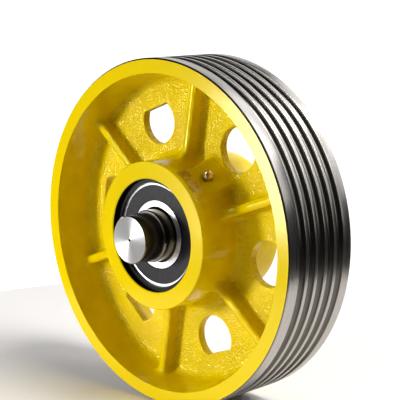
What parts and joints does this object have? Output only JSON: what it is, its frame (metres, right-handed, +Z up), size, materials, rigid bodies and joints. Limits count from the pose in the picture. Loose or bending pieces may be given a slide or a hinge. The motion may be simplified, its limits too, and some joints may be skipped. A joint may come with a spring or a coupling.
{
  "type": "wire rope sheave",
  "caption": "Yellow cast rope sheave with turned rope grooves, ribbed and windowed web, sealed ball bearings and a fixed axle.",
  "frame": {"origin": "centre of the wheel: on the axle's axis, half way through the rim and half way along the axle", "axes": "+Y along the axle towards the rear face, so that the face with the grease nipple looks to -Y; +Z up, with the wheel standing upright"},
  "size_m": [0.4, 0.186, 0.4],
  "materials": {
    "yellow_enamel": "gloss yellow enamel on cast iron, rough on the web and smooth on the turned faces",
    "turned_steel": "turned bright",
    "bearing_steel": "ground",
    "pressed_steel": "pressed sheet",
    "seal_rubber": "moulded nitrile rubber",
    "black_spring_steel": "phosphated black",
    "nipple_steel": "zinc plated, yellow passivated",
    "spring_steel": "drawn wire",
    "plate_aluminium": "thin plate, oversprayed yellow"
  },
  "bodies": {
    "axle": {"axle": "turned_steel", "front_inner_ring": "bearing_steel", "rear_inner_ring": "bearing_steel"},
    "wheel": {"sheave_casting": "yellow_enamel", "front_outer_ring": "bearing_steel", "rear_outer_ring": "bearing_steel", "front_seal": "seal_rubber", "rear_seal": "seal_rubber", "front_circlip": "black_spring_steel", "rear_circlip": "black_spring_steel", "grease_nipple": "nipple_steel", "nipple_ball": "bearing_steel", "nipple_spring": "spring_steel", "hub_plate": "plate_aluminium"},
    "front_ball_set": {"front_balls": "bearing_steel", "front_cage_outer_half": "pressed_steel", "front_cage_inner_half": "pressed_steel", "front_cage_rivets": "pressed_steel"},
    "rear_ball_set": {"rear_balls": "bearing_steel", "rear_cage_outer_half": "pressed_steel", "rear_cage_inner_half": "pressed_steel", "rear_cage_rivets": "pressed_steel"}
  },
  "joints": [
    {"name": "wheel_spin", "type": "hinge", "parent": "axle", "child": "wheel", "pos_m": [0, 0, 0], "axis": [0, 1, 0], "continuous": true},
    {"name": "front_ball_set_spin", "type": "hinge", "parent": "axle", "child": "front_ball_set", "pos_m": [0, -0.035, 0], "axis": [0, 1, 0], "continuous": true},
    {"name": "rear_ball_set_spin", "type": "hinge", "parent": "axle", "child": "rear_ball_set", "pos_m": [0, 0.035, 0], "axis": [0, 1, 0], "continuous": true}
  ],
  "couplings": [
    {"joint": "front_ball_set_spin", "follows": "wheel_spin", "ratio": 0.61684},
    {"joint": "rear_ball_set_spin", "follows": "wheel_spin", "ratio": 0.61684}
  ]
}
